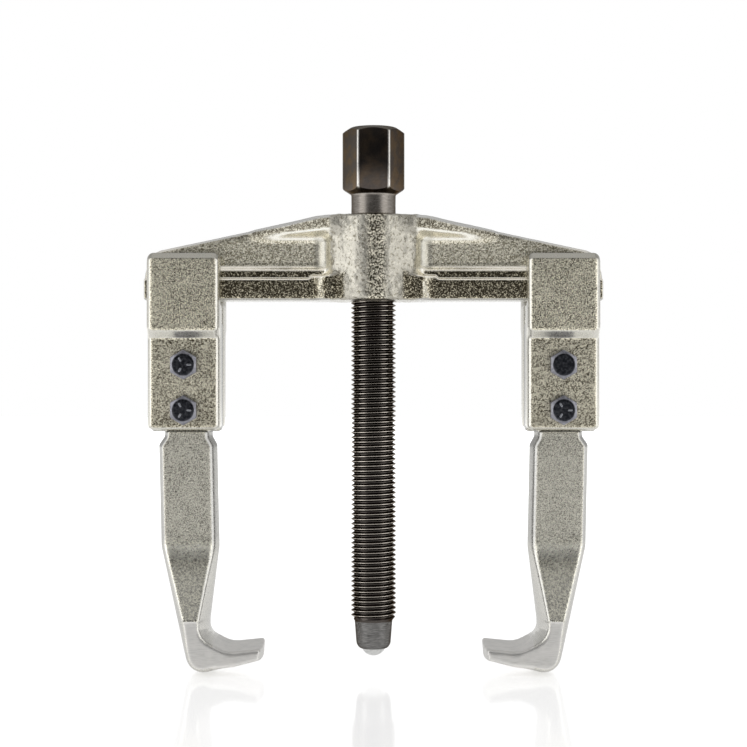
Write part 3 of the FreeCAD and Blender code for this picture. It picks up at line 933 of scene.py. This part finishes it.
def ground_hook(g, face, colour, roughness, strength):
    """The hook below the flare and the top of its finger, ground smooth after forging; a painted shadow runs
    along the step, and the flare has pale grains with painted light and a painted highlight along its bend.
    """
    above = g.between(g.z, FLARE_BOTTOM, FLARE_BOTTOM + 0.12)
    shoulder = g.between(g.math("ABSOLUTE", g.x), GROUND_END - 0.2, GROUND_END + 0.2)
    flank = g.less(face)
    forged_skin = g.math("MAXIMUM", above, g.times(shoulder, flank))

    quiet = g.mix(g.noise(0.8, 2.0, 0.5), (0.57, 0.56, 0.53), (0.66, 0.65, 0.62))
    low = g.between(g.z, FLARE_TOP + 6, FLARE_TOP, 0.0, 0.8)
    colour = g.mix(g.times(flank, low), colour, quiet)
    lines = g.noise(0.30, 1.5, 0.5, g.stretched(0.10, 1.0, 1.0))
    cloud = g.noise(3.0, 2.0, 0.5)
    satin = g.mix(g.spread(lines, 0.3, 0.7), (0.64, 0.63, 0.605), (0.75, 0.74, 0.715))
    satin = g.mix(g.spread(cloud, 0.3, 0.7, 0.0, 0.6), satin, (0.80, 0.78, 0.75))
    colour = g.mix(forged_skin, satin, colour)
    # painted shadow: a dark line along the step where the forged flare meets the ground hook
    step = g.times(above, g.between(g.z, FLARE_BOTTOM + 0.55, FLARE_BOTTOM + 0.30))
    colour = g.mix(g.times(step, face), colour, (0.06, 0.055, 0.05))

    # pale cream grains on the forged flare, and painted light where they reach up past the bend
    flare = g.times(g.between(g.z, FLARE_TOP + 6.5, FLARE_TOP + 3.0), forged_skin)
    flare = g.times(flare, g.spread(face, 0.0, 0.45, 0.15, 1.0))
    grains = g.spread(g.noise(0.55, 1.5, 0.5), 0.42, 0.58, 0.10, 1.0)
    nick = g.times(g.spread(g.noise(1.3, 1.0, 0.5), 0.73, 0.76), face)
    # painted highlight along the bend at the top of the flare
    from_crease = g.math("ABSOLUTE", g.math("SUBTRACT", g.z, (FLARE_TOP + 1.5) * MM))
    bend_highlight = g.times(g.between(from_crease, 3.2, 1.2, 0.0, 0.55), face)
    colour = g.mix(g.times(flare, grains), colour, (0.97, 0.94, 0.80))
    colour = g.mix(bend_highlight, colour, (1.0, 0.98, 0.88))
    colour = g.mix(g.times(nick, flare), colour, (0.95, 0.94, 0.90))

    ground = g.less(forged_skin)
    roughness = g.plus(g.times(roughness, forged_skin), g.times(ground, 0.42))
    strength = g.times(strength, g.spread(forged_skin, 0.0, 1.0, 0.10, 1.0))
    return colour, roughness, strength


def burnished():
    """Black-brown screw steel: bright where sockets and the nut thread have worn it, with painted light on
    the hexagon's side flats, most on the left.
    """
    g = Graph("burnished_screw")
    radius = g.math("SQRT", g.plus(g.times(g.x, g.x), g.times(g.y, g.y)))
    head = g.between(g.z, HEX_BOTTOM - 0.3, HEX_BOTTOM)
    shank = g.less(head)
    neck = g.times(g.between(g.z, BEAM_TOP, BEAM_TOP + 0.2), shank)
    collar = g.between(g.z, THREAD_BOTTOM - 0.1, THREAD_BOTTOM - 0.5)
    crest = g.times(g.between(radius, CREST_R - 0.2, CREST_R - 0.03), g.less(g.math("MAXIMUM", head, neck)))
    dome = g.times(head, g.spread(g.split(g.normal)[2], 0.45, 0.65))
    turn = g.times(g.math("ARCTAN2", g.y, g.x), 180 / math.pi)
    from_corner = g.math("PINGPONG", turn, 30.0)
    corner = g.times(head, g.spread(from_corner, CORNER_SHINE + 0.5, CORNER_SHINE - 0.4))
    corner = g.times(corner, g.between(radius, HEX_AF / 2 + 0.4, HEX_AF / 2 + 0.8))
    aside = g.math("ABSOLUTE", g.x)
    # painted light: the hexagon's flats that face the sides are painted lighter, the left ones most
    lit_side_flats = g.times(head, g.between(aside, HALF_FLAT - 0.5, HALF_FLAT + 0.5))
    lit_side_flats = g.times(lit_side_flats, g.between(g.x, 3.0, -3.0, 0.12, 0.50))

    stain = g.noise(4.0, 3.0, 0.6)
    fleck = g.noise(0.45, 3.0, 0.7)
    turned = g.noise(0.5, 2.0, 0.5, g.stretched(0.25, 0.25, 4.0))
    lathe_marks = g.spread(turned, 0.3, 0.7)
    worn = g.spread(g.plus(fleck, g.times(stain, 0.4)), 0.50, 0.72, 0.55, 1.0)
    colour = g.mix(g.spread(stain, 0.35, 0.68), (0.070, 0.061, 0.056), (0.108, 0.080, 0.057))
    colour = g.mix(g.spread(fleck, 0.52, 0.68, 0.0, 0.38), colour, (0.19, 0.16, 0.135))
    colour = g.mix(shank, colour, (0.078, 0.068, 0.061))
    # the tan of that painted light, varied by the stains
    tan = g.mix(g.spread(stain, 0.4, 0.6), (0.17, 0.15, 0.13), (0.21, 0.16, 0.105))
    colour = g.mix(lit_side_flats, colour, tan)
    colour = g.mix(g.times(crest, 0.9), colour, (0.52, 0.475, 0.42))
    colour = g.mix(neck, colour, g.mix(lathe_marks, (0.19, 0.172, 0.150), (0.31, 0.285, 0.26)))
    colour = g.mix(collar, colour, g.mix(lathe_marks, (0.09, 0.087, 0.084), (0.22, 0.216, 0.21)))
    colour = g.mix(g.times(corner, worn), colour, (0.62, 0.60, 0.565))
    colour = g.mix(dome, colour, (0.26, 0.245, 0.225))

    roughness = g.plus(g.spread(stain, 0.3, 0.7, 0.13, 0.18), g.times(head, 0.09))
    roughness = g.plus(roughness, g.times(neck, 0.12))
    relief = g.plus(g.times(fleck, 0.5), g.times(turned, 0.5))
    g.shader.inputs["Specular Tint"].default_value = (0.35, 0.33, 0.31, 1)
    return g.finish(colour, roughness, g.bump(relief, 0.02, g.spread(head, 0.0, 1.0, 0.22, 0.6)))


def polished():
    """Bearing steel with light scuffs."""
    g = Graph("bearing_ball")
    scuff = g.noise(0.8, 3.0, 0.6)
    colour = g.mix(g.spread(scuff, 0.45, 0.7), (0.60, 0.60, 0.59), (0.48, 0.48, 0.47))
    return g.finish(colour, g.spread(scuff, 0.3, 0.7, 0.14, 0.26), g.bump(scuff, 0.004, 0.5))


def blackened():
    """Black oxide, near black on the faces, with the chamfers and flanks painted greyer as a painted
    reflection, and greyer on the raised grade marks.
    """
    g = Graph("blackened_fastener")
    face = facing_mask(g)
    cloud = g.noise(0.9, 3.0, 0.6)
    top = g.mix(g.spread(cloud, 0.4, 0.65), (0.020, 0.022, 0.027), (0.060, 0.062, 0.070))
    # painted reflection: chamfers and flanks painted greyer than the faces
    rim = g.mix(g.spread(cloud, 0.35, 0.65), (0.20, 0.20, 0.225), (0.32, 0.32, 0.35))
    marks = g.between(g.y, BOLT_LOW[1] - 0.04, BOLT_LOW[1] - 0.10)
    top = g.mix(marks, top, (0.26, 0.27, 0.29))
    return g.finish(g.mix(face, rim, top), g.spread(cloud, 0.3, 0.7, 0.24, 0.40), g.bump(cloud, 0.02, 0.7))


def sprung():
    """Grey spring steel."""
    g = Graph("spring_steel")
    cloud = g.noise(0.7, 3.0, 0.6)
    colour = g.mix(g.spread(cloud, 0.35, 0.7), (0.20, 0.20, 0.21), (0.36, 0.36, 0.36))
    return g.finish(colour, g.spread(cloud, 0.3, 0.7, 0.28, 0.42), g.bump(cloud, 0.015, 0.6))


BEAM_GRAINS = (0.15, 0.13, 0.09), (0.90, 0.86, 0.72)
HEAD_GRAINS = (0.085, 0.07, 0.045), (0.95, 0.90, 0.73)
ARM_GRAINS = (0.17, 0.16, 0.135), (0.76, 0.735, 0.64)
EDGE = (0.66, 0.645, 0.59)
ARM_EDGE = (0.47, 0.465, 0.445)
BEAM_SKIN = plated("plated_beam", BEAM_GRAINS, EDGE, 0.32, 0.50, 0.13, shaded_rail)
HEAD_SKIN = plated("plated_head", HEAD_GRAINS, EDGE, 0.36, 0.49, 0.13, shaded_cheek)
ARM_SKIN = plated("plated_arm", ARM_GRAINS, ARM_EDGE, 0.28, 0.48, 0.08, ground_hook, 0.75)
SCREW_SKIN = burnished()
BALL_SKIN = polished()
BLACK = blackened()
SPRING = sprung()


# ---------------------------------------------------------------- assembly


COARSE = 1.0
BEAM_STEP, HEAD_STEP, ARM_STEP, SMALL_STEP = (step * COARSE for step in (0.42, 0.36, 0.40, 0.16))


def grow(low, high, by=0.3):
    """A box's corners moved out by a margin."""
    return np.array(low) - by, np.array(high) + by


def around_axis(half_x, half_z, start, end):
    """The corners of a box round the Y axis."""
    return (-half_x, start, -half_z), (half_x, end, half_z)


points, faces = forged(beam_field, *grow(BEAM_LOW, BEAM_HIGH), BEAM_STEP, beam_relief)
mesh_piece("forged_beam", points, faces, BEAM_SKIN, "beam", "beam", "plated_forging")
points, faces = screw_mesh()
mesh_piece("forcing_screw", points, faces, SCREW_SKIN, "screw", "spindle", "burnished_screw", sharp=32)
points, faces = ball_mesh()
mesh_piece("thrust_ball", points, faces, BALL_SKIN, "point", "ball_tip", "bearing_ball", sharp=60)

CHEEK = forged(cheek_field, *grow(CHEEK_LOW, CHEEK_HIGH), HEAD_STEP, cheek_relief)
ARM = forged(arm_field, *grow(ARM_LOW, ARM_HIGH), ARM_STEP, arm_relief)
ACROSS_FLATS, ACROSS_CORNERS, WASHER_REACH = 4.3, 4.9, 4.8
BOLTS = {}
for marked in (True, False):
    low, high = around_axis(ACROSS_FLATS, ACROSS_CORNERS, -BOLT_HEAD - 0.45, BOLT_LENGTH - 3.2)
    BOLTS[marked] = forged(bolt_field(marked), low, high, SMALL_STEP, plain)
NUT = forged(nut_field, *around_axis(ACROSS_FLATS, ACROSS_CORNERS, -0.2, 2.9), SMALL_STEP, plain)
WASHER = forged(washer_field, *around_axis(WASHER_REACH, WASHER_REACH, -0.2, 1.0), SMALL_STEP, plain)


def place(part, x, y, z):
    """A mesh moved to a spot."""
    points, faces = part
    return points + np.array([x, y, z]), faces


for side, sign in SIDES.items():
    body = side + "_jaw"

    def handed(part):
        return part if sign > 0 else mirrored(*part, 0)

    def add(name, part, material, node, slot, sharp=None):
        mesh_piece(f"{side}_{name}", *part, material, body, f"{side}_{node}", slot, sharp)

    add("cheek_front", handed(CHEEK), HEAD_SKIN, "front_cheek", "plated_forging")
    add("cheek_rear", handed(mirrored(*CHEEK, 1)), HEAD_SKIN, "rear_cheek", "plated_forging")
    add("hooked_arm", handed(ARM), ARM_SKIN, "hook_arm", "plated_forging")
    for level, height in BOLT_HEIGHT.items():
        marked = not (side == "right" and level == "upper")
        x = sign * BOLT_X
        bolt = place(BOLTS[marked], x, -CHEEK_HALF, height)
        nut = place(NUT, x, NUT_LOW[1], height)
        washer = place(WASHER, x, WASHER_LOW[1], height)
        add(f"hex_bolt_{level}", bolt, BLACK, f"{level}_bolt", "blackened_fastener")
        add(f"hex_nut_{level}", nut, BLACK, f"{level}_nut", "blackened_fastener")
        add(f"spring_ring_{level}", washer, SPRING, f"{level}_washer", "spring_steel")


# ---------------------------------------------------------------- studio


def make_floor():
    """A pale floor with a soft gloss, that glows a little so that its far edge meets the background."""
    mesh = bpy.data.meshes.new("floor")
    corners = [(-3, -3, 0), (3, -3, 0), (3, 3, 0), (-3, 3, 0)]
    mesh.from_pydata(corners, [], [(0, 1, 2, 3)])
    floor = bpy.data.objects.new("floor", mesh)
    bpy.context.scene.collection.objects.link(floor)
    g = Graph("pale_floor")
    cloud = g.noise(60.0, 2.0, 0.5)
    colour = g.mix(g.spread(cloud, 0.3, 0.7), (0.90, 0.90, 0.905), (0.92, 0.92, 0.92))
    mesh.materials.append(g.finish(colour, 0.10, metallic=0.0))
    g.shader.inputs["Specular IOR Level"].default_value = 0.4
    g.shader.inputs["Emission Color"].default_value = (1, 1, 1, 1)
    away = g.math("SQRT", g.plus(g.times(g.x, g.x), g.times(g.y, g.y)))
    g.put(g.shader.inputs["Emission Strength"], g.spread(away, 0.2, 0.9, 0.42, 0.8))


def area_light(name, place, target, width, height, power):
    data = bpy.data.lights.new(name, "AREA")
    data.shape = "RECTANGLE"
    data.size, data.size_y, data.energy = width, height, power
    light = bpy.data.objects.new(name, data)
    bpy.context.scene.collection.objects.link(light)
    light.location = place
    light.rotation_euler = (Vector(target) - Vector(place)).to_track_quat("-Z", "Y").to_euler()


def make_world():
    """White to the eye; its light is weak from the camera's side, and strong from the sides and the rear."""
    world = bpy.data.worlds.new("studio")
    world.use_nodes = True
    bpy.context.scene.world = world
    tree = world.node_tree
    tree.nodes.clear()
    out = tree.nodes.new("ShaderNodeOutputWorld")
    seen = tree.nodes.new("ShaderNodeBackground")
    lit = tree.nodes.new("ShaderNodeBackground")
    seen.inputs["Strength"].default_value = 1.0
    seen.inputs["Color"].default_value = (1, 1, 1, 1)
    mixer = tree.nodes.new("ShaderNodeMixShader")
    path = tree.nodes.new("ShaderNodeLightPath")
    where = tree.nodes.new("ShaderNodeTexCoord")
    split = tree.nodes.new("ShaderNodeSeparateXYZ")
    ramp = tree.nodes.new("ShaderNodeValToRGB")
    spread = tree.nodes.new("ShaderNodeMapRange")
    spread.inputs["From Min"].default_value = -1
    spread.inputs["From Max"].default_value = 1
    tree.links.new(where.outputs["Generated"], split.inputs[0])
    tree.links.new(split.outputs[1], spread.inputs["Value"])
    tree.links.new(spread.outputs[0], ramp.inputs[0])
    front = [(0.0, 0.05), (0.055, 0.07), (0.17, 0.78), (0.42, 0.90)]
    rear = [(0.62, 0.80), (0.80, 0.70), (0.93, 0.75), (1.0, 0.92)]
    stops = front + rear
    while len(ramp.color_ramp.elements) < len(stops):
        ramp.color_ramp.elements.new(0.5)
    for element, (position, level) in zip(ramp.color_ramp.elements, stops):
        element.position = position
        element.color = (level, level, level, 1)
    tree.links.new(ramp.outputs[0], lit.inputs["Color"])
    overhead = tree.nodes.new("ShaderNodeMapRange")
    for key, value in (("From Min", 0.15), ("From Max", 0.9), ("To Min", 1.0), ("To Max", 0.62)):
        overhead.inputs[key].default_value = value
    tree.links.new(split.outputs[2], overhead.inputs["Value"])
    tree.links.new(overhead.outputs[0], lit.inputs["Strength"])
    tree.links.new(path.outputs["Is Camera Ray"], mixer.inputs[0])
    tree.links.new(lit.outputs[0], mixer.inputs[1])
    tree.links.new(seen.outputs[0], mixer.inputs[2])
    tree.links.new(mixer.outputs[0], out.inputs[0])


def make_camera():
    """A level camera in front of the object, a little above its middle."""
    data = bpy.data.cameras.new("camera")
    data.lens = 80
    data.sensor_width = 36
    camera = bpy.data.objects.new("camera", data)
    bpy.context.scene.collection.objects.link(camera)
    camera.location = (0.0, -0.520, 0.093)
    camera.rotation_euler = (math.pi / 2, 0, 0)
    bpy.context.scene.camera = camera


make_floor()
make_world()
make_camera()
area_light("left_softbox", (-0.75, -0.42, 0.30), (0, 0, 0.09), 0.55, 0.9, 1.5)
area_light("right_softbox", (0.75, -0.42, 0.30), (0, 0, 0.09), 0.55, 0.9, 1.15)
area_light("top_softbox", (0, 0.05, 0.95), (0, 0, 0.05), 0.9, 0.6, 0.4)
bpy.context.scene.view_settings.view_transform = "Standard"
